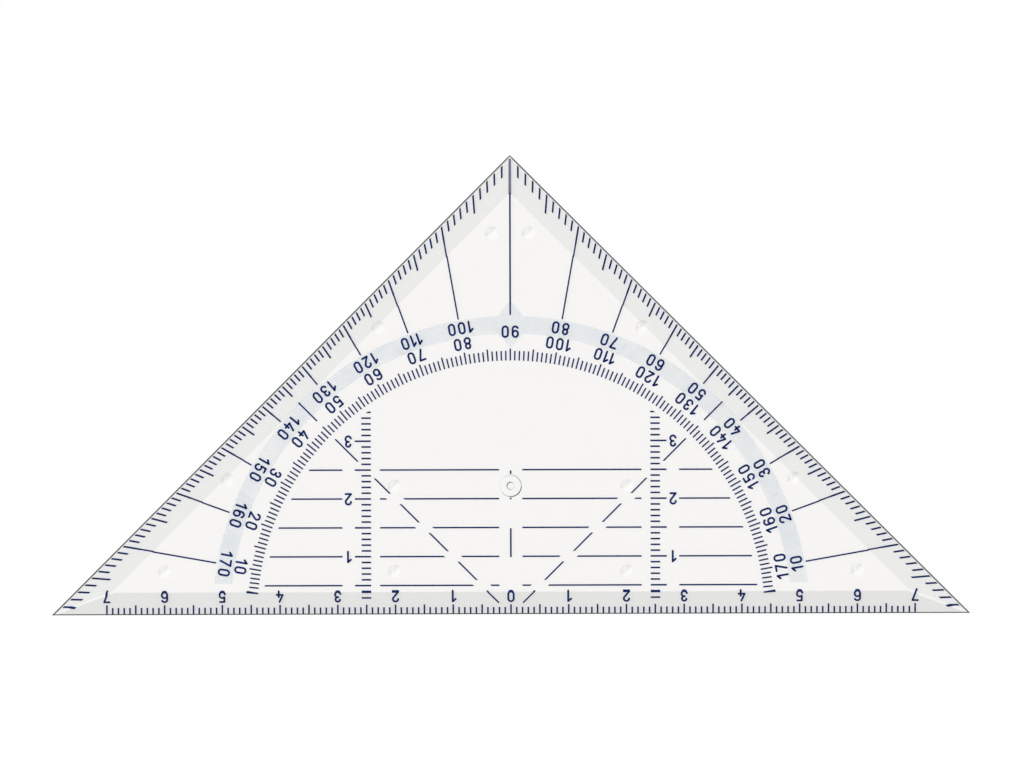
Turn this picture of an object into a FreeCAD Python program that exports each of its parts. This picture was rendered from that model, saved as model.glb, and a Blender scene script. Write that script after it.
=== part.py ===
import FreeCAD, Part
import os

import Sketcher
from FreeCAD import Placement, Rotation, Vector

# A right isosceles set square with a built-in protractor, moulded in one piece
# of clear acrylic and printed on its underside. It lies flat: +Z is up, +X runs
# along the ruling edge, +Y points to the right angle. The origin is the zero
# mark of both scales, in the middle of the ruling edge, at the foot of the nubs.

# Driving sizes, in millimetres unless the name says degrees.
SIZES = {
    # moulded plate
    "long_edge": 159.0,
    "thickness": 2.0,
    "rim_thickness": 1.0,
    "ruling_bevel": 4.0,
    "leg_bevel": 4.7,
    "crest_radius": 1.0,
    "rim_break": 0.15,
    # nubs under the plate, each pair at the same distance either side of the middle
    "nub_height": 0.4,
    "nub_base": 2.4,
    "nub_tip": 1.1,
    "nub_flat": 0.3,
    "apex_nub_across": 3.2,
    "apex_nub_up": 66.0,
    "shoulder_nub_across": 22.8,
    "shoulder_nub_up": 49.6,
    "flank_nub_across": 49.0,
    "flank_nub_up": 23.35,
    "corner_nub_across": 60.0,
    "corner_nub_up": 7.45,
    "inner_nub_across": 20.1,
    "inner_nub_up": 22.2,
    "base_nub_across": 20.1,
    "base_nub_up": 7.45,
    # moulding gate, sunk in the underside
    "gate_diameter": 3.9,
    "gate_stub": 1.1,
    "gate_depth": 0.5,
    "gate_draft_degrees": 20.0,
    "gate_up": 22.2,
    # print
    "ink_thickness": 0.04,
    "line_width": 0.27,
    "scale_line_width": 0.3,
    "rim_line_width": 0.32,
    "middle_line_width": 0.3,
    # centimetre scale on the ruling edge
    "edge_margin": 0.1,
    "edge_short_tick": 1.25,
    "edge_long_tick": 1.72,
    "edge_bare_end": 6.0,
    # degree scale along the legs
    "rim_margin": 0.44,
    "rim_short_tick": 1.52,
    "rim_long_tick": 2.5,
    "rim_scale_floor": 0.6,
    # tinted band and the lines that meet it
    "band_width": 3.08,
    "band_floor": 5.4,
    "band_overlap": 0.13,
    "arrow_out": 2.75,
    "arrow_half_width": 2.2,
    "arrow_lap": 0.05,
    "lines_gap": 0.17,
    "mark_outer_overrun": 0.15,
    "mark_inner_overrun": 1.18,
    # protractor ring
    "ring_gap": 2.57,
    "ring_short_tick": 1.68,
    "ring_long_tick": 2.08,
    "ring_first_degrees": 5.0,
    # parallel lines, diagonals and centre dashes
    "lines_margin": 0.97,
    "parallel_step": 5.0,
    "parallel_count": 5,
    "centre_gap": 2.0,
    "crossing_gap": 1.5,
    "diagonal_start": 2.93,
    "diagonal_gap": 0.9,
    "diagonal_scale_gap": 1.45,
    "centre_dash": 5.0,
    "gate_clearance": 0.1,
    # upright millimetre scales either side of the middle
    "upright_across": 24.2,
    "upright_first": 3.0,
    "upright_short_tick": 1.65,
    "upright_long_tick": 2.8,
    "upright_inner_clearance": 1.55,
    "upright_outer_clearance": 2.15,
}

# Graduations are true millimetres, half centimetres and degrees.
MILLIMETRE = "1"
HALF_CENTIMETRE = "5"
CENTIMETRE = "10"
FINE_DEGREES = "1"
MIDDLE_DEGREES = "5"
COARSE_DEGREES = "10"
HALF_TURN = "180"
SKEW = "45"
CENTRE_DASHES = "2"

# Places worked out from the sizes.
HALF_EDGE = "sizes.long_edge / 2"
LEG_DISTANCE = "sizes.long_edge / (2 * sqrt(2))"
UNDERSIDE = "sizes.nub_height"
RIM_TOP = "(sizes.nub_height + sizes.rim_thickness)"
CREST = "(sizes.nub_height + sizes.thickness)"
PRINT_LEVEL = "(sizes.nub_height - sizes.ink_thickness)"
NUB_SPREAD = "((sizes.nub_base - sizes.nub_tip) / 2)"
NUB_FLARE = f"atan({NUB_SPREAD} / sizes.nub_height)"
NUB_SLOPE = f"atan(sizes.nub_height / {NUB_SPREAD})"
NUB_ROUNDING = f"(sizes.nub_tip - sizes.nub_flat) / 2 / tan({NUB_SLOPE} / 2)"
SCALE_REACH = f"(floor(({HALF_EDGE} - sizes.edge_bare_end) / {CENTIMETRE}) * {CENTIMETRE})"
RIM_SHORT_END = "(sizes.rim_margin + sizes.rim_short_tick)"
RIM_LONG_END = "(sizes.rim_margin + sizes.rim_long_tick)"
BAND_OUTER = f"({LEG_DISTANCE} - sizes.leg_bevel + sizes.band_overlap)"
BAND_INNER = f"({BAND_OUTER} - sizes.band_width)"
LINES_START = f"({BAND_OUTER} + sizes.lines_gap)"
RING_OUTER = f"({BAND_INNER} - sizes.ring_gap)"
RING_INNER = f"({RING_OUTER} - sizes.ring_long_tick)"
LINES_REACH = f"({RING_INNER} - sizes.lines_margin)"

# Where a profile across an edge stands: its turn from the middle of the plate, in
# degrees, and its place along both X and Y.
RULING_EDGE = (0, "0")
RIGHT_LEG = (135, "sizes.long_edge / 4")

# Sketcher's own numbers for a sketch's origin.
ORIGIN_POINT = (-1, 1)

# Two heights closer than this are one level.
SAME_LEVEL = 1e-6

doc = FreeCAD.newDocument("set_square")


def fill_sheet():
    """Writes the driving sizes into the document's spreadsheet."""
    sheet = doc.addObject("Spreadsheet::Sheet", "sizes")
    for row, (alias, value) in enumerate(SIZES.items(), start=1):
        sheet.set(f"A{row}", alias)
        sheet.set(f"B{row}", str(value))
        sheet.setAlias(f"B{row}", alias)
    doc.recompute()
    return sheet


sheet = fill_sheet()


def number(text):
    """The present value of an expression."""
    return float(sheet.evalExpression(text))


def new_body(name):
    """A body whose label names the sub-part."""
    body = doc.addObject("PartDesign::Body", name)
    body.Label = name
    body.AllowCompound = True
    return body


def origin_feature(body, role):
    """One of the body's own origin planes or axes."""
    return next(item for item in body.Origin.OriginFeatures if item.Role == role)


def new_sketch(body, name, level=PRINT_LEVEL, across="0", up="0", turn="0"):
    """A sketch parallel to the plate, moved to a level and turned about +Z by an angle."""
    sketch = body.newObject("Sketcher::SketchObject", name)
    sketch.AttachmentSupport = [(origin_feature(body, "XY_Plane"), "")]
    sketch.MapMode = "FlatFace"
    sketch.setExpression("AttachmentOffset.Base.x", across)
    sketch.setExpression("AttachmentOffset.Base.y", up)
    sketch.setExpression("AttachmentOffset.Base.z", level)
    sketch.setExpression("AttachmentOffset.Rotation.Angle", turn)
    return sketch


def axis_number(name):
    """Sketcher's own number for one of a sketch's two axes."""
    return -1 if name == "across" else -2


def bind(sketch, name, text, kind, *places):
    """A named dimension that follows an expression."""
    index = sketch.addConstraint(Sketcher.Constraint(kind, *places, number(text)))
    sketch.renameConstraint(index, name)
    sketch.setExpression(f"Constraints.{name}", text)


def polygon(sketch, corners):
    """Closed straight lines through the corners; line i runs from corner i to the next."""
    points = [Vector(*corner, 0) for corner in corners]
    lines = []
    for here, there in zip(points, points[1:] + points[:1]):
        lines.append(sketch.addGeometry(Part.LineSegment(here, there), False))
    for line, following in zip(lines, lines[1:] + lines[:1]):
        sketch.addConstraint(Sketcher.Constraint("Coincident", line, 2, following, 1))
    return lines


def draw_bar(sketch, start, end, width):
    """A rectangle along the sketch's own X axis, centred on it, from start to end."""
    near, far, half = number(start), number(end), number(width) / 2
    corners = [(near, -half), (far, -half), (far, half), (near, half)]
    lower, right, upper, left = polygon(sketch, corners)
    for line in (lower, upper):
        sketch.addConstraint(Sketcher.Constraint("Horizontal", line))
    sketch.addConstraint(Sketcher.Constraint("Vertical", right))
    sketch.addConstraint(Sketcher.Constraint("Symmetric", left, 1, left, 2, axis_number("across")))
    bind(sketch, "start", start, "DistanceX", *ORIGIN_POINT, lower, 1)
    bind(sketch, "end", end, "DistanceX", *ORIGIN_POINT, lower, 2)
    bind(sketch, "width", width, "DistanceY", right, 1, right, 2)


def draw_right_triangle(sketch, apex, floor=None):
    """An isosceles triangle with its right angle on the Y axis and its long side level."""
    top = number(apex)
    base = number(floor) if floor else 0
    half = top - base
    long_side, right, left = polygon(sketch, [(-half, base), (half, base), (0, top)])
    upright = axis_number("up")
    sketch.addConstraint(Sketcher.Constraint("Symmetric", long_side, 1, long_side, 2, upright))
    sketch.addConstraint(Sketcher.Constraint("PointOnObject", right, 2, upright))
    sketch.addConstraint(Sketcher.Constraint("Perpendicular", right, left))
    bind(sketch, "apex", apex, "DistanceY", *ORIGIN_POINT, right, 2)
    if floor:
        bind(sketch, "floor", floor, "DistanceY", *ORIGIN_POINT, long_side, 1)
    else:
        level = axis_number("across")
        sketch.addConstraint(Sketcher.Constraint("PointOnObject", long_side, 1, level))


def draw_circle(sketch, name, diameter, across=None, up=None):
    """A circle of a bound diameter, at the sketch's origin or at a bound place right of it."""
    centre = Vector(number(across) if across else 0, number(up) if up else 0, 0)
    shape = Part.Circle(centre, Vector(0, 0, 1), number(diameter) / 2)
    circle = sketch.addGeometry(shape, False)
    bind(sketch, f"{name}_diameter", diameter, "Diameter", circle)
    if across:
        bind(sketch, f"{name}_across", across, "DistanceX", *ORIGIN_POINT, circle, 3)
    else:
        sketch.addConstraint(Sketcher.Constraint("PointOnObject", circle, 3, axis_number("up")))
    if up:
        bind(sketch, f"{name}_up", up, "DistanceY", *ORIGIN_POINT, circle, 3)
    else:
        sketch.addConstraint(Sketcher.Constraint("PointOnObject", circle, 3, axis_number("across")))


def pad(body, sketch, height="sizes.ink_thickness"):
    """Material from the sketch upwards; ink is the usual height."""
    feature = body.newObject("PartDesign::Pad", sketch.Name + "_pad")
    feature.Profile = (sketch, [""])
    feature.setExpression("Length", height)
    body.Tip = feature
    return feature


def cut_through(body, sketch):
    """Removes everything over and under the sketch."""
    feature = body.newObject("PartDesign::Pocket", sketch.Name + "_cut")
    feature.Profile = (sketch, [""])
    feature.Type = "ThroughAll"
    feature.SideType = "Symmetric"
    body.Tip = feature
    return feature


def mirror(body, *features):
    """Repeats the features on the other side of the middle."""
    copy = body.newObject("PartDesign::Mirrored", features[0].Name + "_mirrored")
    copy.Originals = list(features)
    copy.MirrorPlane = (origin_feature(body, "YZ_Plane"), [""])
    body.Tip = copy
    return copy


def repeat_along(body, feature, axis, step, count, backwards=False):
    """A row of copies along one of the body's axes."""
    row = body.newObject("PartDesign::LinearPattern", feature.Name + "_row")
    row.Originals = [feature]
    row.Direction = (origin_feature(body, axis), [""])
    row.Mode = "Spacing"
    row.Reversed = backwards
    row.setExpression("Offset", step)
    row.setExpression("Occurrences", count)
    body.Tip = row
    return row


def repeat_round(body, feature, step, span):
    """A fan of copies about +Z, covering a span of degrees."""
    fan = body.newObject("PartDesign::PolarPattern", feature.Name + "_fan")
    fan.Originals = [feature]
    fan.Axis = (origin_feature(body, "Z_Axis"), [""])
    fan.Mode = "Spacing"
    fan.setExpression("Offset", step)
    fan.setExpression("Occurrences", f"{span} / {step} + 1")
    body.Tip = fan
    return fan


def boolean(kind, name, base, tool):
    """A Part boolean of two shapes of the document."""
    result = doc.addObject(f"Part::{kind}", name)
    result.Base = base
    result.Tool = tool
    result.Label = name
    return result


# Plate: a flat moulding, bevelled along all three edges.


def round_off(body, name, floor, level, radius):
    """Rounds every edge that comes up to a level and stays over a floor."""
    doc.recompute()
    base = body.Tip
    low, high = number(floor), number(level)
    picked = []
    for index, edge in enumerate(base.Shape.Edges, start=1):
        box = edge.BoundBox
        if abs(box.ZMax - high) < SAME_LEVEL and box.ZMin > low - SAME_LEVEL:
            picked.append(f"Edge{index}")
    rounding = body.newObject("PartDesign::Fillet", name)
    rounding.Base = (base, picked)
    rounding.setExpression("Radius", radius)
    body.Tip = rounding


def cut_slope(body, name, place, low, high, width):
    """Planes off the top along one edge, rising from low at the edge to high at a width inside."""
    turn, offset = place
    sketch = body.newObject("Sketcher::SketchObject", name)
    sketch.AttachmentSupport = [(origin_feature(body, "YZ_Plane"), "")]
    sketch.MapMode = "FlatFace"
    sketch.AttachmentOffset = Placement(Vector(), Rotation(Vector(0, 1, 0), turn))
    sketch.setExpression("AttachmentOffset.Base.x", offset)
    sketch.setExpression("AttachmentOffset.Base.z", offset)
    bottom, top, wide = number(low), number(high), number(width)
    slope, crest, side = polygon(sketch, [(0, bottom), (wide, top), (0, top)])
    sketch.addConstraint(Sketcher.Constraint("Horizontal", crest))
    sketch.addConstraint(Sketcher.Constraint("PointOnObject", slope, 1, axis_number("up")))
    sketch.addConstraint(Sketcher.Constraint("PointOnObject", side, 1, axis_number("up")))
    bind(sketch, "low", low, "DistanceY", *ORIGIN_POINT, slope, 1)
    bind(sketch, "high", high, "DistanceY", *ORIGIN_POINT, side, 1)
    bind(sketch, "wide", width, "DistanceX", *ORIGIN_POINT, slope, 2)
    return cut_through(body, sketch)


def make_plate():
    """The clear moulding with its bevels, nubs and gate."""
    body = new_body("plate")
    outline = new_sketch(body, "outline", UNDERSIDE)
    draw_right_triangle(outline, HALF_EDGE)
    pad(body, outline, "sizes.thickness")

    cut_slope(body, "ruling_bevel", RULING_EDGE, RIM_TOP, CREST, "sizes.ruling_bevel")
    mirror(body, cut_slope(body, "leg_bevel", RIGHT_LEG, RIM_TOP, CREST, "sizes.leg_bevel"))
    # The edges round the flat top and those between two bevels.
    round_off(body, "crest", RIM_TOP, CREST, "sizes.crest_radius")
    low, high = f"{RIM_TOP} - sizes.rim_break", f"{RIM_TOP} + sizes.rim_break"
    cut_slope(body, "ruling_break", RULING_EDGE, low, high, "2 * sizes.rim_break")
    mirror(body, cut_slope(body, "leg_break", RIGHT_LEG, low, high, "2 * sizes.rim_break"))

    nubs = new_sketch(body, "nubs", "0")
    for place in ("apex", "shoulder", "flank", "corner", "inner", "base"):
        across = f"sizes.{place}_nub_across"
        up = f"sizes.{place}_nub_up"
        draw_circle(nubs, place, "sizes.nub_tip", across, up)
    nub_pad = pad(body, nubs, UNDERSIDE)
    nub_pad.setExpression("TaperAngle", NUB_FLARE)
    mirror(body, nub_pad)
    # The edges of the tips, down to the small flats on which the plate stands.
    round_off(body, "nub_tips", "0", "0", NUB_ROUNDING)

    gate = new_sketch(body, "gate", UNDERSIDE)
    draw_circle(gate, "well", "sizes.gate_diameter", up="sizes.gate_up")
    well = body.newObject("PartDesign::Pocket", "gate_well")
    well.Profile = (gate, [""])
    well.Reversed = True
    well.setExpression("Length", "sizes.gate_depth")
    well.setExpression("TaperAngle", "-sizes.gate_draft_degrees")
    body.Tip = well
    stub = new_sketch(body, "stub", UNDERSIDE)
    draw_circle(stub, "stub", "sizes.gate_stub", up="sizes.gate_up")
    pad(body, stub, "sizes.gate_depth").setExpression("TaperAngle", "sizes.gate_draft_degrees")
    return body


# Print: each scale is a thin film of ink on the plate's underside.


def make_edge_scale():
    """Millimetres along the ruling edge, with longer half centimetres."""
    body = new_body("edge_scale")
    ticks = (
        ("millimetre", MILLIMETRE, "sizes.edge_short_tick"),
        ("half_centimetre", HALF_CENTIMETRE, "sizes.edge_long_tick"),
    )
    for name, step, length in ticks:
        sketch = new_sketch(body, f"edge_{name}", across=SCALE_REACH, turn="90")
        draw_bar(sketch, "sizes.edge_margin", f"sizes.edge_margin + {length}", "sizes.scale_line_width")
        count = f"2 * {SCALE_REACH} / {step} + 1"
        repeat_along(body, pad(body, sketch), "X_Axis", step, count, backwards=True)
    return body


def draw_rays(body, name, width, step):
    """Straight rays from outside the band past the legs, at every step of degrees."""
    sketch = new_sketch(body, name)
    draw_bar(sketch, LINES_START, HALF_EDGE, width)
    repeat_round(body, pad(body, sketch), step, HALF_TURN)


def draw_inset(body, name, inset):
    """The plate's triangle with its legs moved in and its foot clear of the ruling edge."""
    sketch = new_sketch(body, name)
    draw_right_triangle(sketch, f"{HALF_EDGE} - {inset} * sqrt(2)", "sizes.rim_scale_floor")
    return sketch


def rim_ticks(name, step, inner_end):
    """Rays cut to a strip that follows both legs."""
    rays = new_body(f"{name}_rays")
    draw_rays(rays, f"{name}_ray", "sizes.rim_line_width", step)
    strip = new_body(f"{name}_strip")
    pad(strip, draw_inset(strip, f"{name}_outside", "sizes.rim_margin"))
    cut_through(strip, draw_inset(strip, f"{name}_inside", inner_end))
    return boolean("Common", name, rays, strip)


def make_outer_degree_scale():
    """Degrees along the legs, with longer fives."""
    fine = rim_ticks("fine_degrees", FINE_DEGREES, RIM_SHORT_END)
    middle = rim_ticks("middle_degrees", MIDDLE_DEGREES, RIM_LONG_END)
    return boolean("Fuse", "outer_degree_scale", fine, middle)


def make_ten_degree_lines():
    """Thin lines that carry every tenth degree in to the band, a heavier one up the middle."""
    rays = new_body("ten_degree_rays")
    draw_rays(rays, "ten_degree_ray", "sizes.line_width", COARSE_DEGREES)
    middle = new_sketch(rays, "middle_ray", turn="90")
    draw_bar(middle, LINES_START, HALF_EDGE, "sizes.middle_line_width")
    pad(rays, middle)
    field = new_body("ten_degree_field")
    pad(field, draw_inset(field, "ten_degree_inset", RIM_LONG_END))
    return boolean("Common", "ten_degree_lines", rays, field)


def make_inner_degree_scale():
    """The protractor ring: degrees on a half circle, with longer fives."""
    body = new_body("inner_degree_scale")
    first = "sizes.ring_first_degrees"
    ticks = (
        ("fine", FINE_DEGREES, "sizes.ring_short_tick"),
        ("middle", MIDDLE_DEGREES, "sizes.ring_long_tick"),
    )
    for name, step, length in ticks:
        sketch = new_sketch(body, f"ring_{name}", turn=first)
        draw_bar(sketch, RING_INNER, f"{RING_INNER} + {length}", "sizes.line_width")
        repeat_round(body, pad(body, sketch), step, f"({HALF_TURN} - 2 * {first})")
    return body


def draw_arc_band(sketch):
    """A half ring whose two feet are cut level."""
    outer, inner, floor = number(BAND_OUTER), number(BAND_INNER), number("sizes.band_floor")
    arcs = []
    for radius in (outer, inner):
        reach = (radius**2 - floor**2) ** 0.5
        right, top, left = Vector(reach, floor, 0), Vector(0, radius, 0), Vector(-reach, floor, 0)
        arcs.append(sketch.addGeometry(Part.Arc(right, top, left), False))
    outside, inside = arcs
    feet = []
    for end in (1, 2):
        here, there = sketch.getPoint(outside, end), sketch.getPoint(inside, end)
        foot = sketch.addGeometry(Part.LineSegment(here, there), False)
        sketch.addConstraint(Sketcher.Constraint("Coincident", foot, 1, outside, end))
        sketch.addConstraint(Sketcher.Constraint("Coincident", foot, 2, inside, end))
        sketch.addConstraint(Sketcher.Constraint("Horizontal", foot))
        feet.append(foot)
    for arc in arcs:
        sketch.addConstraint(Sketcher.Constraint("Coincident", arc, 3, *ORIGIN_POINT))
    bind(sketch, "outer", BAND_OUTER, "Radius", outside)
    bind(sketch, "inner", BAND_INNER, "Radius", inside)
    for side, foot in zip(("right", "left"), feet):
        bind(sketch, f"{side}_floor", "sizes.band_floor", "DistanceY", *ORIGIN_POINT, foot, 1)


def draw_arrow(sketch, base, tip):
    """A triangle on the middle line, from its base level to its tip."""
    wide = number("sizes.arrow_half_width")
    corners = [(-wide, number(base)), (wide, number(base)), (0, number(tip))]
    foot, right, _left = polygon(sketch, corners)
    sketch.addConstraint(Sketcher.Constraint("Symmetric", foot, 1, foot, 2, axis_number("up")))
    sketch.addConstraint(Sketcher.Constraint("PointOnObject", right, 2, axis_number("up")))
    bind(sketch, "base", base, "DistanceY", *ORIGIN_POINT, foot, 1)
    bind(sketch, "tip", tip, "DistanceY", *ORIGIN_POINT, right, 2)
    bind(sketch, "width", "2 * sizes.arrow_half_width", "DistanceX", foot, 1, foot, 2)


def make_degree_band(lines, marks):
    """The pale band between the two degree scales, with an arrow each way at the right angle.

    Lines and marks are printed over it, so they are cut out of it."""
    body = new_body("band_blank")
    ring = new_sketch(body, "band_ring")
    draw_arc_band(ring)
    pad(body, ring)
    arrows = (
        ("outward", f"{BAND_OUTER} - sizes.arrow_lap", f"{BAND_OUTER} + sizes.arrow_out"),
        ("inward", f"{BAND_INNER} + sizes.arrow_lap", RING_OUTER),
    )
    for name, base, tip in arrows:
        arrow = new_sketch(body, f"{name}_arrow")
        draw_arrow(arrow, base, tip)
        pad(body, arrow)
    unmarked = boolean("Cut", "band_under_lines", body, lines)
    return boolean("Cut", "degree_band", unmarked, marks)


def make_diagonal_marks():
    """Short strokes across the band at 45 and 135 degrees."""
    body = new_body("diagonal_marks")
    sketch = new_sketch(body, "diagonal_mark", turn=SKEW)
    inner = f"{BAND_INNER} - sizes.mark_inner_overrun"
    outer = f"{BAND_OUTER} + sizes.mark_outer_overrun"
    draw_bar(sketch, inner, outer, "sizes.line_width")
    mirror(body, pad(body, sketch))
    return body


def trim_to_reach(body, name):
    """Cuts off what lies outside the circle that keeps all lines clear of the ring."""
    sketch = new_sketch(body, name)
    draw_circle(sketch, "reach", f"2 * {LINES_REACH}")
    draw_circle(sketch, "outside", "sizes.long_edge")
    cut_through(body, sketch)


def make_diagonal_lines():
    """Broken lines at 45 degrees each way from the zero mark."""
    body = new_body("diagonal_lines")
    sketch = new_sketch(body, "diagonal", turn=SKEW)
    draw_bar(sketch, "sizes.diagonal_start", LINES_REACH, "sizes.line_width")
    mirror(body, pad(body, sketch))
    left = f"-({LINES_REACH})"
    gap = new_sketch(body, "diagonal_window", across=left, up="sizes.parallel_step")
    draw_bar(gap, MILLIMETRE, f"2 * {LINES_REACH}", "2 * sizes.diagonal_gap")
    window = cut_through(body, gap)
    repeat_along(body, window, "Y_Axis", "sizes.parallel_step", "sizes.parallel_count")
    highest = "sizes.parallel_step * sizes.parallel_count"
    crossing = new_sketch(body, "upright_window", across=left, up=highest)
    draw_bar(crossing, MILLIMETRE, f"2 * {LINES_REACH}", "2 * sizes.diagonal_scale_gap")
    cut_through(body, crossing)
    return body


def make_parallel_lines():
    """Level lines at equal steps, broken at the middle, the diagonals and the upright scales."""
    body = new_body("parallel_lines")
    sketch = new_sketch(body, "parallel", across=f"-2 * {LINES_REACH}", up="sizes.parallel_step")
    draw_bar(sketch, LINES_REACH, f"3 * {LINES_REACH}", "sizes.line_width")
    line = pad(body, sketch)
    repeat_along(body, line, "Y_Axis", "sizes.parallel_step", "sizes.parallel_count")
    trim_to_reach(body, "parallel_trim")

    middle = new_sketch(body, "middle_window", turn="90")
    draw_bar(middle, MILLIMETRE, LINES_REACH, "2 * sizes.centre_gap")
    cut_through(body, middle)
    skew = new_sketch(body, "crossing_window", turn=SKEW)
    draw_bar(skew, MILLIMETRE, HALF_EDGE, "sqrt(2) * sizes.crossing_gap")
    mirror(body, cut_through(body, skew))
    near = "(sizes.upright_across - sizes.upright_inner_clearance)"
    far = "(sizes.upright_across + sizes.upright_long_tick + sizes.upright_outer_clearance)"
    beside = new_sketch(body, "upright_scale_window", across=f"({near} + {far}) / 2", turn="90")
    draw_bar(beside, MILLIMETRE, LINES_REACH, f"{far} - {near}")
    mirror(body, cut_through(body, beside))
    return body


def make_centre_line():
    """Dashes up the middle, interrupted by the gate."""
    body = new_body("centre_line")
    sketch = new_sketch(body, "centre_dash", turn="90")
    step = "2 * sizes.parallel_step"
    start = f"({step} - sizes.line_width / 2)"
    draw_bar(sketch, start, f"{start} + sizes.centre_dash", "sizes.middle_line_width")
    repeat_along(body, pad(body, sketch), "Y_Axis", step, CENTRE_DASHES)
    gap = new_sketch(body, "gate_window")
    draw_circle(gap, "gap", "sizes.gate_diameter + 2 * sizes.gate_clearance", up="sizes.gate_up")
    cut_through(body, gap)
    return body


def make_upright_scale(name, left):
    """Millimetres up the plate from the ruling edge, ending at the ring."""
    body = new_body(name)
    highest = f"sqrt({LINES_REACH} * {LINES_REACH} - sizes.upright_across * sizes.upright_across)"
    ticks = (
        ("fine", MILLIMETRE, "sizes.upright_first", "sizes.upright_short_tick"),
        ("middle", HALF_CENTIMETRE, HALF_CENTIMETRE, "sizes.upright_long_tick"),
    )
    for grade, step, first, length in ticks:
        turn = "180" if left else "0"
        sketch = new_sketch(body, f"{name}_{grade}", up=first, turn=turn)
        far = f"sizes.upright_across + {length}"
        draw_bar(sketch, "sizes.upright_across", far, "sizes.scale_line_width")
        count = f"floor(({highest} - {first}) / {step}) + 1"
        repeat_along(body, pad(body, sketch), "Y_Axis", step, count)
    trim_to_reach(body, f"{name}_trim")
    return body


def check(parts):
    """Stops on a failed feature or a sub-part without sound solids."""
    for item in doc.Objects:
        if {"Invalid", "Error"} & set(item.State):
            raise RuntimeError(f"{item.Name} failed: {item.State}")
    for part in parts:
        shape = part.Shape
        if shape.isNull() or not shape.isValid() or not shape.Solids:
            raise RuntimeError(f"{part.Label} has no sound solid")


def export(parts):
    """Writes one STEP file per sub-part, named by its label."""
    os.makedirs("parts", exist_ok=True)
    for part in parts:
        part.Shape.exportStep(f"parts/{part.Label}.step")
        box = part.Shape.BoundBox
        print(
            f"{part.Label}: {len(part.Shape.Solids)} solids, {part.Shape.Volume:.3f} mm3,"
            f" {box.XLength:.2f} x {box.YLength:.2f} x {box.ZLength:.2f} mm"
        )


ten_lines = make_ten_degree_lines()
diagonal_marks = make_diagonal_marks()
parts = [
    make_plate(),
    make_edge_scale(),
    make_outer_degree_scale(),
    ten_lines,
    make_degree_band(ten_lines, diagonal_marks),
    diagonal_marks,
    make_inner_degree_scale(),
    make_diagonal_lines(),
    make_parallel_lines(),
    make_centre_line(),
    make_upright_scale("left_upright_scale", left=True),
    make_upright_scale("right_upright_scale", left=False),
]
doc.recompute()
check(parts)
export(parts)
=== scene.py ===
import math

import bmesh
import bpy
from mathutils import Matrix, Vector


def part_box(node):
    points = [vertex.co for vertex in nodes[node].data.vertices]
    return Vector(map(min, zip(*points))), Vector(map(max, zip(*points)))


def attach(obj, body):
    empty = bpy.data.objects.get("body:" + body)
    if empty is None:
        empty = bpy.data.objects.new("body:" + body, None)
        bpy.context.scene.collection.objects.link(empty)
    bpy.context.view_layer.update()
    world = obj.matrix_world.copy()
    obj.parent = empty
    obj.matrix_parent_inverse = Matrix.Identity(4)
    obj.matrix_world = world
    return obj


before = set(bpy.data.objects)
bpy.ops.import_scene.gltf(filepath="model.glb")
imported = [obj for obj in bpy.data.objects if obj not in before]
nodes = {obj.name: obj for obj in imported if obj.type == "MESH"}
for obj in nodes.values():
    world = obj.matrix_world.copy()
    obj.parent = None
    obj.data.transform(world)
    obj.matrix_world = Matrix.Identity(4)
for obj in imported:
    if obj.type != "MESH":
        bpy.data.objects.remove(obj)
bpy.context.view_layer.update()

# A clear moulded set square lies on a white board under soft lamps. Its ruling edge runs
# along X, the right angle points along +Y, and the zero mark of its scales is the origin.
# The plate, the lines and the ticks come from the frame; this file adds the numerals, the
# finishes, the board, the lamps and the camera.

MM = 0.001

# Sizes of the numerals, in millimetres. They reach into the plate by the overlap.
STROKE = 0.36
DIGIT_HEIGHT = 1.81
DIGIT_WIDTH = 0.92
DIGIT_ADVANCE = 1.74
ONE_WIDTH = 0.9 * DIGIT_WIDTH
ONE_ADVANCE = 1.08
INK_OVERLAP = 0.003
ARC_STEP_DEGREES = 15
DOT_SEGMENTS = 16
SAME_POINT = 1e-4

# A height over the gate's well and under the plate's bevels, in millimetres.
UNDER_BEVELS = 1.2

# How far in from the legs a painted dark line lies along the rim, and half of the width over which
# that fades, in millimetres.
RIM_PAINTED_SHADE = 0.28
RIM_FADE = 0.04

# The round-topped mitre over the middle line: its length and half of its width, in millimetres, and
# the share of the line that its painted reflection veils.
MITRE_LENGTH = 6.6
MITRE_HALF_WIDTH = 0.25
PAINTED_REFLECTION_SHARE = 0.2

# How many reflections inside the plate are followed before a painted pale glow stands in for the
# rest.
MOST_TURNS = 3.5

# Painted light and shade: the nubs are painted lighter on the side that lies this way from their
# middle, and the gate's well is painted darker there.
PAINTED_LIT_SIDE = (0.64, -0.77, 0)

# Where the numerals stand, in millimetres from the zero mark, and the last centimetres that
# have one. Those on the ruling edge are squashed to a share of their height.
OUTER_NUMERALS_RADIUS = 50.23
INNER_NUMERALS_RADIUS = 47.49
RIGHT_ANGLE_NUMERAL_RADIUS = 48.9
EDGE_NUMERALS_UP = 3.2
EDGE_NUMERALS_SQUASH = 0.94
EDGE_LAST_CENTIMETRE = 7
UPRIGHT_NUMERALS_ACROSS = 28.12
UPRIGHT_NUMERALS_DROP = 0.05
UPRIGHT_LAST_CENTIMETRE = 3

# The camera is a long lens straight above the plate. Its field and lens are in millimetres.
FIELD_WIDTH = 177.45
FIELD_CENTRE = (0.279, 39.84)
CAMERA_ROLL_DEGREES = -0.16
LENS = 200
SENSOR = 36

# The board, in metres: half of its side, and how far out it starts to be, and is, plain white.
BOARD_REACH = 3.0
WHITE_FROM = 0.15
WHITE_AT = 0.6

scene = bpy.context.scene
plate_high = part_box("plate")[1]
film_low, film_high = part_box("edge_scale")


# Materials


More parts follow.
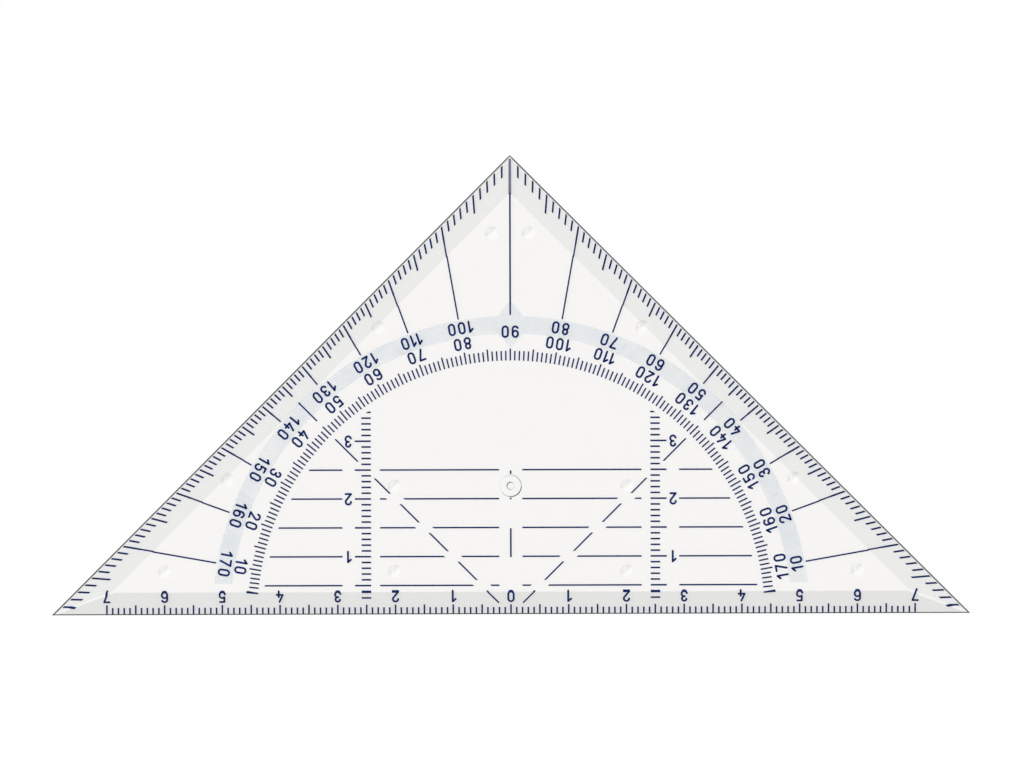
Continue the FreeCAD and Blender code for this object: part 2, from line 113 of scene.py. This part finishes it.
def linear(hex_colour):
    """A hex sRGB colour as the linear colour that a shader takes."""
    channels = [int(hex_colour[i : i + 2], 16) / 255 for i in (1, 3, 5)]
    turned = [c / 12.92 if c <= 0.04045 else ((c + 0.055) / 1.055) ** 2.4 for c in channels]
    return (*turned, 1.0)


def add(tree, kind, inputs=(), stops=(), **settings):
    """Adds a node, sets its properties and fills its inputs with values or other nodes' outputs."""
    node = tree.nodes.new(f"ShaderNode{kind}")
    for name, value in settings.items():
        setattr(node, name, value)
    for name, value in dict(inputs).items():
        if isinstance(value, bpy.types.NodeSocket):
            tree.links.new(value, node.inputs[name])
        else:
            node.inputs[name].default_value = value
    for index, (position, hex_colour) in enumerate(stops):
        ramp = node.color_ramp.elements
        stop = ramp[index] if index < len(ramp) else ramp.new(position)
        stop.position = position
        stop.color = linear(hex_colour)
    return node


def new_material(name):
    """An empty node material and its tree."""
    material = bpy.data.materials.new(name)
    material.use_nodes = True
    material.node_tree.nodes.clear()
    return material, material.node_tree


def carried_light(tree):
    """1 for the rays that bring lamplight or the board's scattered light, and 0 for the rest."""
    path = add(tree, "LightPath").outputs
    rays = {0: path["Is Shadow Ray"], 1: path["Is Diffuse Ray"]}
    return add(tree, "Math", rays, operation="MAXIMUM").outputs[0]


def within_legs(inset):
    """The |x| + y, in metres, of the lines that lie some millimetres inside the two legs."""
    return plate_high.x - math.sqrt(2) * inset * MM


def upper_tint(tree, level, outward):
    """The painted shade of the plate's upper side, by its slope and by how far out it lies."""
    # Painted shade by slope, for the light it bends away from the board: darkest on the broken
    # edges, greyer on the bevels.
    painted_slope_shade = add(
        tree,
        "ValToRGB",
        {"Fac": level},
        stops=[
            (0.0, "#AEB6B6"),
            (0.6, "#AEB6B6"),
            (0.66, "#0B0D0F"),
            (0.74, "#0B0D0F"),
            (0.8, "#D6D6D5"),
            (0.971, "#D6D6D5"),
            (0.978, "#E7E7E6"),
            (0.985, "#FAFAF8"),
            (1.0, "#FEFCFA"),
        ],
    ).outputs["Color"]
    # Painted shade: a thin dark line on the bevels just inside the legs' broken edges.
    painted_rim_shade = add(
        tree,
        "MapRange",
        {
            "Value": outward,
            "From Min": within_legs(RIM_PAINTED_SHADE + RIM_FADE),
            "From Max": within_legs(RIM_PAINTED_SHADE - RIM_FADE),
            "To Min": 1.0,
            "To Max": 0.25,
        },
    ).outputs["Result"]
    return add(
        tree,
        "Mix",
        {"Factor": 1.0, "A": painted_slope_shade, "B": painted_rim_shade},
        data_type="RGBA",
        blend_type="MULTIPLY",
    ).outputs["Result"]


def lower_tint(tree, level, facing):
    """The painted shade of the underside, where only the nubs and the gate slope."""
    # Painted shade by slope: greyest on the upright sides, less on the gate's drafted ones, none on
    # the nubs.
    painted_wall_shade = add(
        tree,
        "ValToRGB",
        {"Fac": level},
        stops=[
            (0.0, "#AEB6B6"),
            (0.2, "#AEB6B6"),
            (0.3, "#DCDEDE"),
            (0.8, "#FFFFFF"),
            (0.99, "#FFFFFF"),
            (1.0, "#FEFCFA"),
        ],
    ).outputs["Color"]
    # Painted shade falls on one side of the nubs and the gate, and most on the gate's steep sides.
    painted_dark_side = add(
        tree,
        "ValToRGB",
        {"Fac": facing},
        stops=[
            (0.5, "#FFFFFF"),
            (0.57, "#E6E6E4"),
            (0.66, "#E8E8E6"),
            (0.72, "#F4F4F2"),
            (0.77, "#F4F4F2"),
            (0.8, "#B8B8B8"),
            (1.0, "#4C5054"),
        ],
    ).outputs["Color"]
    return add(
        tree,
        "Mix",
        {"Factor": 1.0, "A": painted_wall_shade, "B": painted_dark_side},
        data_type="RGBA",
        blend_type="MULTIPLY",
    ).outputs["Result"]


def nub_gleam(tree, level, facing, on_top):
    """A painted highlight: a faint glow on the lit side of each nub's round tip, seen through the
    plate.
    """
    painted_lit_half = add(
        tree,
        "ValToRGB",
        {"Fac": facing},
        stops=[(0.41, "#FFFFFF"), (0.5, "#000000")],
    ).outputs["Color"]
    tip = add(
        tree,
        "ValToRGB",
        {"Fac": level},
        stops=[(0.8, "#000000"), (0.9, "#FFFFFF"), (0.99, "#FFFFFF"), (0.998, "#000000")],
    ).outputs["Color"]
    inside = add(tree, "LightPath").outputs["Is Transmission Ray"]
    share = add(tree, "Math", {0: painted_lit_half, 1: tip}, operation="MULTIPLY").outputs[0]
    share = add(tree, "Math", {0: share, 1: inside}, operation="MULTIPLY").outputs[0]
    below = add(tree, "Math", {0: share, 1: on_top}, operation="SUBTRACT", use_clamp=True)
    return below.outputs[0]


def mitre_veil(tree, across, outward, on_top):
    """A painted reflection of the pale room, a faint glow on the round-topped mitre that veils the
    middle line a little.
    """
    ridge = add(
        tree,
        "MapRange",
        {
            "Value": across,
            "From Min": 2 * MITRE_HALF_WIDTH * MM,
            "From Max": MITRE_HALF_WIDTH * MM,
            "To Min": 0.0,
            "To Max": PAINTED_REFLECTION_SHARE,
        },
    ).outputs["Result"]
    past_crest = add(
        tree,
        "Math",
        {0: outward, 1: plate_high.x - MITRE_LENGTH * MM},
        operation="GREATER_THAN",
    ).outputs[0]
    share = add(tree, "Math", {0: ridge, 1: past_crest}, operation="MULTIPLY").outputs[0]
    return add(tree, "Math", {0: share, 1: on_top}, operation="MULTIPLY").outputs[0]


def clear_acrylic():
    """Injection-moulded PMMA from a polished mould: colourless and glossy, with painted shade by
    slope and painted glows.
    """
    material, tree = new_material("clear_acrylic")
    place = add(tree, "TexCoord").outputs["Object"]
    spot = add(tree, "SeparateXYZ", {"Vector": place}).outputs
    across = add(tree, "Math", {0: spot["X"]}, operation="ABSOLUTE").outputs[0]
    outward = add(tree, "Math", {0: across, 1: spot["Y"]}, operation="ADD").outputs[0]
    on_top = add(
        tree,
        "Math",
        {0: spot["Z"], 1: UNDER_BEVELS * MM},
        operation="GREATER_THAN",
    ).outputs[0]
    normal = add(tree, "NewGeometry").outputs["True Normal"]
    slope = add(tree, "SeparateXYZ", {"Vector": normal}).outputs["Z"]
    level = add(tree, "Math", {0: slope}, operation="ABSOLUTE").outputs[0]
    facing = add(
        tree,
        "VectorMath",
        {0: normal, 1: PAINTED_LIT_SIDE},
        operation="DOT_PRODUCT",
    ).outputs["Value"]
    facing = add(tree, "MapRange", {"Value": facing, "From Min": -1.0}).outputs["Result"]
    upper = upper_tint(tree, level, outward)
    lower = lower_tint(tree, level, facing)
    # The colour carries the painted shade of both sides.
    tint = add(
        tree,
        "Mix",
        {"Factor": on_top, "A": lower, "B": upper},
        data_type="RGBA",
    ).outputs["Result"]
    # The polish changes a little over about 6 mm and leaves the faces wavy over about 14 mm.
    haze = add(tree, "TexNoise", {"Vector": place, "Scale": 1 / (6 * MM), "Detail": 4.0})
    roughness = add(
        tree,
        "MapRange",
        {"Value": haze.outputs["Fac"], "To Min": 0.015, "To Max": 0.06},
    ).outputs["Result"]
    flow = add(tree, "TexNoise", {"Vector": place, "Scale": 1 / (14 * MM), "Detail": 1.0})
    waviness = add(
        tree,
        "Bump",
        {"Height": flow.outputs["Fac"], "Distance": 0.02 * MM, "Strength": 0.5},
    ).outputs["Normal"]
    polished = add(
        tree,
        "BsdfPrincipled",
        {
            "Base Color": tint,
            "Roughness": roughness,
            "Normal": waviness,
            "IOR": 1.49,
            "Transmission Weight": 1.0,
        },
    )
    # The gate's drafted sides are matt from the tool, and take the same painted shade.
    matt = add(tree, "BsdfDiffuse", {"Color": tint})
    drafted = add(
        tree,
        "ValToRGB",
        {"Fac": level},
        stops=[(0.2, "#000000"), (0.3, "#FFFFFF"), (0.45, "#FFFFFF"), (0.55, "#000000")],
    ).outputs["Color"]
    surface = add(
        tree,
        "MixShader",
        {0: drafted, 1: polished.outputs[0], 2: matt.outputs[0]},
    ).outputs[0]
    # Painted light lies over it as glows: a painted highlight on the nubs, a painted reflection on
    # the mitre, and a pale glow in place of the light that keeps turning round inside the plate.
    turns = add(tree, "LightPath").outputs["Glossy Depth"]
    spent = add(tree, "Math", {0: turns, 1: MOST_TURNS}, operation="GREATER_THAN").outputs[0]
    painted_glows = [
        (nub_gleam(tree, level, facing, on_top), "#FFFFFF", 1.03),
        (mitre_veil(tree, across, outward, on_top), "#E6E6E6", 1.0),
        (spent, "#C8CECE", 1.0),
    ]
    for share, hex_colour, strength in painted_glows:
        light = add(tree, "Emission", {"Color": linear(hex_colour), "Strength": strength})
        surface = add(tree, "MixShader", {0: share, 1: surface, 2: light.outputs[0]}).outputs[0]
    # Lamps and the light scattered by the board reach the print through the plate.
    through = add(tree, "BsdfTransparent", {"Color": linear("#F8FAFA")})
    mix = add(
        tree,
        "MixShader",
        {0: carried_light(tree), 1: surface, 2: through.outputs[0]},
    )
    add(tree, "OutputMaterial", {"Surface": mix.outputs[0]})
    return material


def navy_ink():
    """Screen-printed navy ink: dense, without gloss, cloudy over 0.8 mm, its grain 0.1 mm."""
    material, tree = new_material("navy_ink")
    place = add(tree, "TexCoord").outputs["Object"]
    cloud = add(tree, "TexNoise", {"Vector": place, "Scale": 1 / (0.8 * MM), "Detail": 3.0})
    colour = add(
        tree,
        "ValToRGB",
        {"Fac": cloud.outputs["Fac"]},
        stops=[(0.3, "#0C2658"), (0.7, "#122E6A")],
    ).outputs["Color"]
    grain = add(tree, "TexNoise", {"Vector": place, "Scale": 1 / (0.1 * MM), "Detail": 2.0})
    bump = add(
        tree,
        "Bump",
        {"Height": grain.outputs["Fac"], "Distance": 0.005 * MM, "Strength": 0.5},
    ).outputs["Normal"]
    roughness = add(
        tree,
        "MapRange",
        {"Value": grain.outputs["Fac"], "To Min": 0.5, "To Max": 0.7},
    ).outputs["Result"]
    film = add(
        tree,
        "BsdfPrincipled",
        {
            "Base Color": colour,
            "Roughness": roughness,
            "Normal": bump,
            "Specular IOR Level": 0.1,
        },
    )
    # The film is thin enough to leave a blue shadow on the board.
    thin = add(tree, "BsdfTransparent", {"Color": linear("#6E96D8")})
    mix = add(
        tree,
        "MixShader",
        {0: carried_light(tree), 1: film.outputs[0], 2: thin.outputs[0]},
    )
    add(tree, "OutputMaterial", {"Surface": mix.outputs[0]})
    return material


def pale_tint():
    """Screen-printed blue-grey tint: thin, half see-through, laid unevenly over about 5 mm."""
    material, tree = new_material("pale_tint")
    place = add(tree, "TexCoord").outputs["Object"]
    cloud = add(tree, "TexNoise", {"Vector": place, "Scale": 1 / (5 * MM), "Detail": 2.0})
    colour = add(
        tree,
        "ValToRGB",
        {"Fac": cloud.outputs["Fac"]},
        stops=[(0.3, "#F6F8FA"), (0.7, "#FAFBFC")],
    ).outputs["Color"]
    lay = add(
        tree,
        "MapRange",
        {"Value": cloud.outputs["Fac"], "To Min": 0.04, "To Max": 0.1},
    ).outputs["Result"]
    film = add(tree, "BsdfPrincipled", {"Base Color": colour, "Roughness": 0.6, "IOR": 1.45})
    clear = add(tree, "BsdfTransparent", {"Color": colour})
    mix = add(tree, "MixShader", {0: lay, 1: clear.outputs[0], 2: film.outputs[0]})
    add(tree, "OutputMaterial", {"Surface": mix.outputs[0]})
    return material


def white_board():
    """Matt coated board, its grain 1.5 mm: it looks white and keeps the plate's soft shadow."""
    material, tree = new_material("white_board")
    place = add(tree, "TexCoord").outputs["Object"]
    grain = add(tree, "TexNoise", {"Vector": place, "Scale": 1 / (1.5 * MM), "Detail": 2.0})
    colour = add(
        tree,
        "ValToRGB",
        {"Fac": grain.outputs["Fac"]},
        stops=[(0.3, "#F7F7F7"), (0.7, "#FAFAFA")],
    ).outputs["Color"]
    matt = add(tree, "BsdfDiffuse", {"Color": colour})
    glow = add(tree, "Emission", {"Strength": 1.0})
    path = add(tree, "LightPath").outputs
    seen = add(
        tree,
        "Math",
        {0: path["Is Camera Ray"], 1: path["Is Glossy Ray"]},
        operation="MAXIMUM",
    ).outputs[0]
    seen = add(
        tree,
        "Math",
        {0: seen, 1: path["Is Transmission Ray"]},
        operation="MAXIMUM",
    ).outputs[0]
    # Near the plate a fifth of the board is left to light and shadow, and far from it none.
    away = add(tree, "VectorMath", {0: place}, operation="LENGTH").outputs["Value"]
    white = add(
        tree,
        "MapRange",
        {
            "Value": away,
            "From Min": WHITE_FROM,
            "From Max": WHITE_AT,
            "To Min": 0.8,
            "To Max": 1.0,
        },
    ).outputs["Result"]
    share = add(tree, "Math", {0: seen, 1: white}, operation="MULTIPLY").outputs[0]
    mix = add(tree, "MixShader", {0: share, 1: matt.outputs[0], 2: glow.outputs[0]})
    add(tree, "OutputMaterial", {"Surface": mix.outputs[0]})
    return material


def finish_frame_nodes():
    """Gives the plate, the degree band and the ink their finishes; returns the ink's."""
    ink = navy_ink()
    finishes = {"plate": clear_acrylic(), "degree_band": pale_tint()}
    for name, node in nodes.items():
        for slot in node.material_slots:
            slot.material = finishes.get(name, ink)
    return ink


# Numerals. Each digit is a few strokes of one width, measured from its lower left corner. A
# stroke has a start, a heading in degrees and its moves: a run of a length, or a turn of a
# radius (left, or right where it is negative) through an angle. A nine is a six turned over.

HALF_WIDTH = DIGIT_WIDTH / 2
LOWER_BOWL = 0.96
UPPER_BOWL = DIGIT_HEIGHT - LOWER_BOWL
UPPER_RADIUS = 0.38
TALL_BOWL = 1.06
LOWER_SIDE = LOWER_BOWL - DIGIT_WIDTH
UPPER_SIDE = UPPER_BOWL - 2 * UPPER_RADIUS
TALL_SIDE = TALL_BOWL - DIGIT_WIDTH
LONG_SIDE = DIGIT_HEIGHT - DIGIT_WIDTH
NECK = 0.1
TAIL_DEGREES = 170


def run(length):
    """A straight move."""
    return (length, None)


def turn(radius, degrees):
    """A round move, to the left for a positive radius and to the right for a negative one."""
    return (radius, degrees)


def line(start, end):
    """A stroke straight from one point to another."""
    way = Vector(end) - Vector(start)
    return (start, math.degrees(math.atan2(way.y, way.x)), [run(way.length)])


def loop(right, bottom, radius, side):
    """A closed stroke with straight sides and round ends, from the lower end of its right side."""
    half = [run(side), turn(radius, 180)]
    return ((right, bottom + radius), 90, half + half)


def zero():
    return [loop(DIGIT_WIDTH, 0, HALF_WIDTH, LONG_SIDE)]


def one():
    stem, flag_drop = 0.5, 0.46
    top = (stem, DIGIT_HEIGHT)
    return [line((0, DIGIT_HEIGHT - flag_drop), top), line(top, (stem, 0))]


def two():
    drop = DIGIT_HEIGHT - HALF_WIDTH
    lean = math.degrees(2 * math.atan(HALF_WIDTH / drop))
    back = ((0, drop), 90, [turn(-HALF_WIDTH, 180 + lean), run(drop)])
    return [back, line((0, 0), (DIGIT_WIDTH, 0))]


def three():
    left = HALF_WIDTH - UPPER_RADIUS
    upper = [turn(-UPPER_RADIUS, 180), run(UPPER_SIDE), turn(-UPPER_RADIUS, 90), run(NECK)]
    lower = [turn(-HALF_WIDTH, 90), run(LOWER_SIDE), turn(-HALF_WIDTH, TAIL_DEGREES)]
    return [
        ((left, DIGIT_HEIGHT - UPPER_RADIUS), 90, upper),
        ((HALF_WIDTH, LOWER_BOWL), 0, lower),
    ]


def four():
    bar, foot, reach = 0.28 * DIGIT_HEIGHT, 0.74 * DIGIT_WIDTH, 1.12 * DIGIT_WIDTH
    return [
        line((0.6 * DIGIT_WIDTH, DIGIT_HEIGHT), (0, bar)),
        line((0, bar), (reach, bar)),
        line((foot, 0.5 * DIGIT_HEIGHT), (foot, 0)),
    ]


def five():
    open_degrees = 140
    lean = math.radians(open_degrees)
    left = HALF_WIDTH * (1 + math.cos(lean))
    start = TALL_BOWL - HALF_WIDTH * (1 - math.sin(lean))
    bowl = [turn(-HALF_WIDTH, open_degrees), run(TALL_SIDE), turn(-HALF_WIDTH, TAIL_DEGREES)]
    return [
        line((0.92 * DIGIT_WIDTH, DIGIT_HEIGHT), (left, DIGIT_HEIGHT)),
        line((left, DIGIT_HEIGHT), (left, start)),
        ((left, start), open_degrees - 90, bowl),
    ]


def six():
    open_degrees = 25
    lean = math.radians(open_degrees)
    across = HALF_WIDTH * (1 + math.cos(lean))
    up = DIGIT_HEIGHT - HALF_WIDTH * (1 - math.sin(lean))
    arm = [turn(HALF_WIDTH, 180 - open_degrees), run(LONG_SIDE)]
    return [
        ((across, up), 90 + open_degrees, arm),
        loop(DIGIT_WIDTH, 0, HALF_WIDTH, TALL_SIDE),
    ]


def seven():
    corner = (DIGIT_WIDTH, DIGIT_HEIGHT)
    return [line((0, DIGIT_HEIGHT), corner), line(corner, (0.3 * DIGIT_WIDTH, 0))]


def eight():
    return [
        loop(DIGIT_WIDTH, 0, HALF_WIDTH, LOWER_SIDE),
        loop(HALF_WIDTH + UPPER_RADIUS, LOWER_BOWL, UPPER_RADIUS, UPPER_SIDE),
    ]


DIGITS = dict(zip("012345678", (zero, one, two, three, four, five, six, seven, eight)))


def new_piece(name, mesh, finish):
    """An object of the scene with the mesh's faces and the finish."""
    data = bpy.data.meshes.new(name)
    mesh.to_mesh(data)
    mesh.free()
    data.materials.append(finish)
    piece = bpy.data.objects.new(name, data)
    scene.collection.objects.link(piece)
    return piece


def join(mesh, other):
    """Moves the other mesh's faces into the mesh."""
    data = bpy.data.meshes.new("joined")
    other.to_mesh(data)
    other.free()
    mesh.from_mesh(data)
    bpy.data.meshes.remove(data)


def draw_dot(mesh, place):
    """A round end of the pen."""
    at = Matrix.Translation(place)
    bmesh.ops.create_circle(
        mesh, cap_ends=True, segments=DOT_SEGMENTS, radius=STROKE / 2, matrix=at
    )


def draw_stroke(mesh, start, heading, moves):
    """Moves the pen's nib, an edge across the line, and leaves flat ink behind it."""
    place = Vector((*start, 0))
    turned = Matrix.Rotation(math.radians(heading), 3, "Z")
    ahead, aside = turned @ Vector((1, 0, 0)), turned @ Vector((0, 1, 0))
    sides = [mesh.verts.new(place + aside * side * STROKE / 2) for side in (-1, 1)]
    nib = mesh.edges.new(sides)
    draw_dot(mesh, place)
    for size, degrees in moves:
        if degrees is None:
            grown = bmesh.ops.extrude_edge_only(mesh, edges=[nib])["geom"]
            moved = [item for item in grown if isinstance(item, bmesh.types.BMVert)]
            bmesh.ops.translate(mesh, verts=moved, vec=ahead * size)
            nib = mesh.edges.get(moved)
            place += ahead * size
            continue
        centre = place + aside * size
        angle = math.radians(math.copysign(degrees, size))
        grown = bmesh.ops.spin(
            mesh,
            geom=[nib, *nib.verts],
            cent=centre,
            axis=(0, 0, 1),
            angle=angle,
            steps=math.ceil(degrees / ARC_STEP_DEGREES),
        )["geom_last"]
        nib = next(item for item in grown if isinstance(item, bmesh.types.BMEdge))
        swing = Matrix.Rotation(angle, 3, "Z")
        place = centre + swing @ (place - centre)
        ahead, aside = swing @ ahead, swing @ aside
    draw_dot(mesh, place)


def advance(digit):
    """How much of the line a digit takes."""
    return ONE_ADVANCE if digit == "1" else DIGIT_ADVANCE


def draw_number(mesh, text, across, up, turned_degrees, squash):
    """A number centred on a point, squashed in height and turned from +Y by an angle."""
    written = bmesh.new()
    reach = -sum(advance(digit) for digit in text) / 2
    for digit in text:
        width = ONE_WIDTH if digit == "1" else DIGIT_WIDTH
        shape = bmesh.new()
        for start, heading, moves in DIGITS["6" if digit == "9" else digit]():
            draw_stroke(shape, start, heading, moves)
        if digit == "9":
            middle = Vector((DIGIT_WIDTH / 2, DIGIT_HEIGHT / 2, 0))
            half_turn = Matrix.Rotation(math.pi, 3, "Z")
            bmesh.ops.rotate(shape, verts=shape.verts, cent=middle, matrix=half_turn)
        inset = (advance(digit) - width) / 2
        shift = Vector((reach + inset, -DIGIT_HEIGHT / 2, 0))
        bmesh.ops.translate(shape, verts=shape.verts, vec=shift)
        reach += advance(digit)
        join(written, shape)
    bmesh.ops.scale(written, verts=written.verts, vec=(1, squash, 1))
    turned = Matrix.Rotation(math.radians(turned_degrees), 4, "Z")
    place = Matrix.Translation((across, up, 0)) @ turned
    bmesh.ops.transform(written, matrix=place, verts=written.verts)
    join(mesh, written)


def print_numbers(name, numbers, finish, squash=1):
    """One piece of print from (text, across, up, turn) rows, as thick as the other ink."""
    mesh = bmesh.new()
    for text, across, up, turned_degrees in numbers:
        draw_number(mesh, text, across, up, turned_degrees, squash)
    bmesh.ops.remove_doubles(mesh, verts=mesh.verts, dist=SAME_POINT)
    bmesh.ops.scale(mesh, verts=mesh.verts, vec=(MM, MM, MM))
    low, high = film_low.z + INK_OVERLAP * MM, film_high.z + INK_OVERLAP * MM
    bmesh.ops.translate(mesh, verts=mesh.verts, vec=(0, 0, low))
    grown = bmesh.ops.extrude_face_region(mesh, geom=mesh.faces[:])["geom"]
    raised = [item for item in grown if isinstance(item, bmesh.types.BMVert)]
    bmesh.ops.translate(mesh, verts=raised, vec=(0, 0, high - low))
    bmesh.ops.recalc_face_normals(mesh, faces=mesh.faces)
    piece = new_piece(name, mesh, finish)
    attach(piece, "root")


def around(text, degrees, radius):
    """A row for a number that stands on a ray with its top towards the zero mark."""
    ray = math.radians(degrees)
    return (text, radius * math.cos(ray), radius * math.sin(ray), degrees + 90)


def make_numerals(finish):
    """All the numbers of the four scales."""
    tens = [ten for ten in range(10, 180, 10) if ten != 90]
    outer = [around(str(ten), ten, OUTER_NUMERALS_RADIUS) for ten in tens]
    outer.append(around("90", 90, RIGHT_ANGLE_NUMERAL_RADIUS))
    print_numbers("outer_degree_numerals", outer, finish)
    inner = [around(str(180 - ten), ten, INNER_NUMERALS_RADIUS) for ten in tens]
    print_numbers("inner_degree_numerals", inner, finish)
    centimetres = range(-EDGE_LAST_CENTIMETRE, EDGE_LAST_CENTIMETRE + 1)
    edge = [(str(abs(cm)), 10 * cm, EDGE_NUMERALS_UP, 180) for cm in centimetres]
    print_numbers("edge_numerals", edge, finish, EDGE_NUMERALS_SQUASH)
    upright = []
    for cm in range(1, UPRIGHT_LAST_CENTIMETRE + 1):
        for side in (-1, 1):
            across = side * UPRIGHT_NUMERALS_ACROSS
            upright.append((str(cm), across, 10 * cm - UPRIGHT_NUMERALS_DROP, 180))
    print_numbers("upright_numerals", upright, finish)


# Board, lamps and camera


def make_board():
    """A wide white board under the plate."""
    mesh = bmesh.new()
    bmesh.ops.create_grid(mesh, x_segments=1, y_segments=1, size=BOARD_REACH)
    new_piece("board", mesh, white_board())


def light_world():
    """An even pale studio, dark straight overhead where a camera stand would be."""
    world = bpy.data.worlds.new("studio")
    scene.world = world
    world.use_nodes = True
    tree = world.node_tree
    tree.nodes.clear()
    way = add(tree, "TexCoord").outputs["Generated"]
    height = add(tree, "SeparateXYZ", {"Vector": way}).outputs["Z"]
    dome = add(
        tree,
        "ValToRGB",
        {"Fac": height},
        stops=[(0.0, "#F4F4F4"), (0.75, "#E4E4E4"), (0.9, "#404040"), (1.0, "#282828")],
    ).outputs["Color"]
    path = add(tree, "LightPath").outputs
    seen = add(
        tree,
        "Math",
        {0: path["Is Camera Ray"], 1: path["Is Transmission Ray"]},
        operation="MAXIMUM",
    ).outputs[0]
    colour = add(
        tree,
        "Mix",
        {"Factor": seen, "A": dome, "B": (1, 1, 1, 1)},
        data_type="RGBA",
    )
    back = add(tree, "Background", {"Color": colour.outputs["Result"], "Strength": 1.0})
    add(tree, "OutputWorld", {"Surface": back.outputs[0]})


def add_lamp(name, place, size, power):
    """A square soft box, in metres and watts, that faces the middle of the plate."""
    data = bpy.data.lights.new(name, "AREA")
    data.shape = "SQUARE"
    data.size = size
    data.energy = power
    lamp = bpy.data.objects.new(name, data)
    scene.collection.objects.link(lamp)
    target = Vector((FIELD_CENTRE[0] * MM, FIELD_CENTRE[1] * MM, 0))
    lamp.location = place
    lamp.rotation_euler = (target - Vector(place)).to_track_quat("-Z", "Y").to_euler()


def place_camera():
    """Looks straight down from where the lens takes in the field's width."""
    data = bpy.data.cameras.new("copy_camera")
    data.lens = LENS
    data.sensor_width = SENSOR
    camera = bpy.data.objects.new("copy_camera", data)
    scene.collection.objects.link(camera)
    distance = FIELD_WIDTH * LENS / SENSOR
    across, up = FIELD_CENTRE
    camera.location = Vector((across, up, distance)) * MM + Vector((0, 0, film_high.z))
    camera.rotation_euler = (0, 0, math.radians(CAMERA_ROLL_DEGREES))
    scene.camera = camera


place_camera()
make_numerals(finish_frame_nodes())
make_board()
light_world()
add_lamp("key_box", place=(-1.1, 0.3, 1.1), size=0.6, power=14.0)
add_lamp("fill_box", place=(1.1, -0.8, 0.9), size=0.9, power=6.0)
scene.view_settings.view_transform = "Standard"
